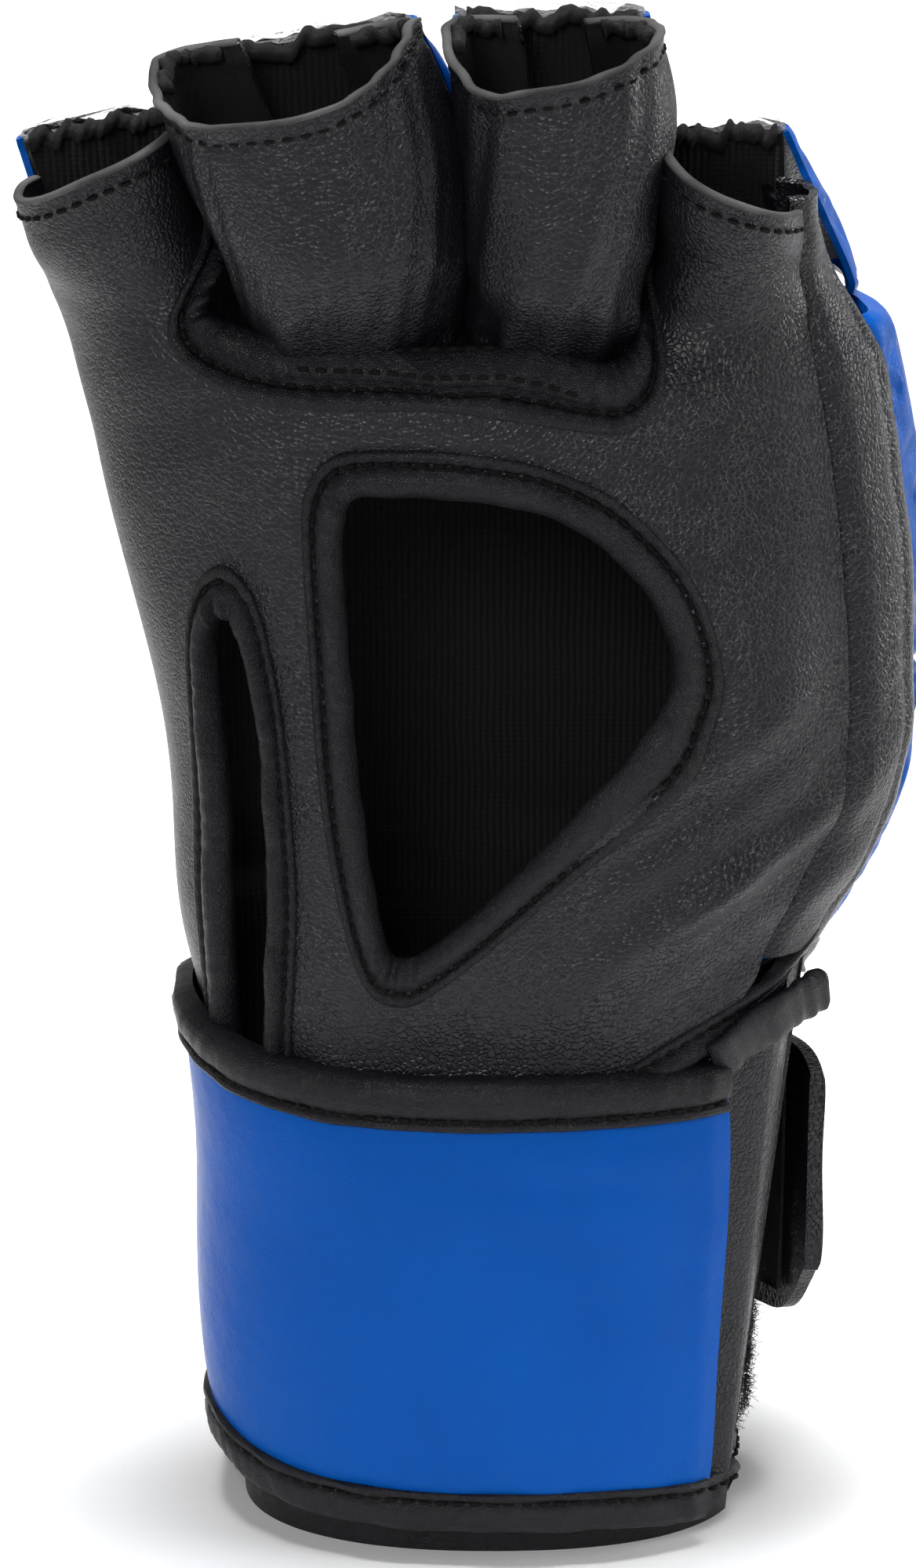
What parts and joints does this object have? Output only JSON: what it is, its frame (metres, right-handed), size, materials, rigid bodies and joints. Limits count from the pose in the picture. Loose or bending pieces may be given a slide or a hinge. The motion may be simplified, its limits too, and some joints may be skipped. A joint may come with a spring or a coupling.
{
  "type": "mma glove",
  "caption": "Open-palm padded glove with separate finger stalls, thumb opening and a wrap-round wrist strap.",
  "frame": {"origin": "on the floor plane, under the middle of the glove, which stands on its wrist rim", "axes": "+Z from the wrist to the fingertips, -Y the way the palm faces, -X the thumb side"},
  "size_m": [0.1432, 0.0816, 0.2563],
  "materials": {
    "black_leather": "pebbled satin",
    "black_tape": "smooth satin",
    "blue_leather": "smooth satin",
    "foam": "matte closed-cell",
    "knit_lining": "ribbed knit",
    "hook_and_loop": "fuzzy pile"
  },
  "bodies": {
    "hand": {"palm_panel": "black_leather", "index_flex_leather": "black_leather", "little_flex_leather": "black_leather", "palm_opening_binding": "black_tape", "thumb_opening_binding": "black_tape", "finger_slot_binding": "black_tape", "side_panel": "black_leather", "back_pad_foam": "foam", "back_pad_cover": "blue_leather", "back_lining": "knit_lining", "wrist_slit_binding": "black_tape", "gauntlet": "black_leather", "gauntlet_rim_binding": "black_tape", "loop_patch": "hook_and_loop", "wrist_strap_panel": "blue_leather", "wrist_strap_top_binding": "black_tape", "wrist_strap_bottom_binding": "black_tape"},
    "back_strap": {"back_strap_panel": "blue_leather", "back_strap_top_binding": "black_tape", "back_strap_bottom_binding": "black_tape"},
    "tab": {"strap_tab": "black_leather", "hook_patch": "hook_and_loop"},
    "index": {"index_stall": "black_leather", "index_pad_foam": "foam", "index_pad_cover": "blue_leather", "index_lining": "knit_lining"},
    "middle": {"middle_stall": "black_leather", "middle_pad_foam": "foam", "middle_pad_cover": "blue_leather", "middle_lining": "knit_lining"},
    "ring": {"ring_stall": "black_leather", "ring_pad_foam": "foam", "ring_pad_cover": "blue_leather", "ring_lining": "knit_lining"},
    "little": {"little_stall": "black_leather", "little_pad_foam": "foam", "little_pad_cover": "blue_leather", "little_lining": "knit_lining"}
  },
  "joints": [
    {"name": "index_bend", "type": "hinge", "parent": "hand", "child": "index", "pos_m": [-0.0537, 0.0058, 0.206], "axis": [0.9816, 0, 0.1908], "range_deg": [0, 26], "stiffness_Nm_per_rad": 0.3, "deforming": ["index_flex_leather"]},
    {"name": "middle_bend", "type": "hinge", "parent": "hand", "child": "middle", "pos_m": [-0.0207, 0.0058, 0.206], "axis": [0.9833, 0, 0.1822], "range_deg": [0, 26], "stiffness_Nm_per_rad": 0.3, "deforming": ["finger_slot_binding"]},
    {"name": "ring_bend", "type": "hinge", "parent": "hand", "child": "ring", "pos_m": [0.0109, 0.0058, 0.206], "axis": [0.9998, 0, 0.0174], "range_deg": [0, 26], "stiffness_Nm_per_rad": 0.3, "deforming": ["finger_slot_binding"]},
    {"name": "little_bend", "type": "hinge", "parent": "hand", "child": "little", "pos_m": [0.0391, 0.0058, 0.206], "axis": [0.9981, 0, 0.0611], "range_deg": [0, 26], "stiffness_Nm_per_rad": 0.3, "deforming": ["little_flex_leather"]},
    {"name": "strap_peel", "type": "hinge", "parent": "hand", "child": "back_strap", "pos_m": [-0.04567, 0.01565, 0.0459], "axis": [0, 0, 1], "range_deg": [0, 110]},
    {"name": "tab_peel", "type": "hinge", "parent": "back_strap", "child": "tab", "pos_m": [0.018, 0.0318, 0.0459], "axis": [0, 0, 1], "range_deg": [0, 60]}
  ]
}
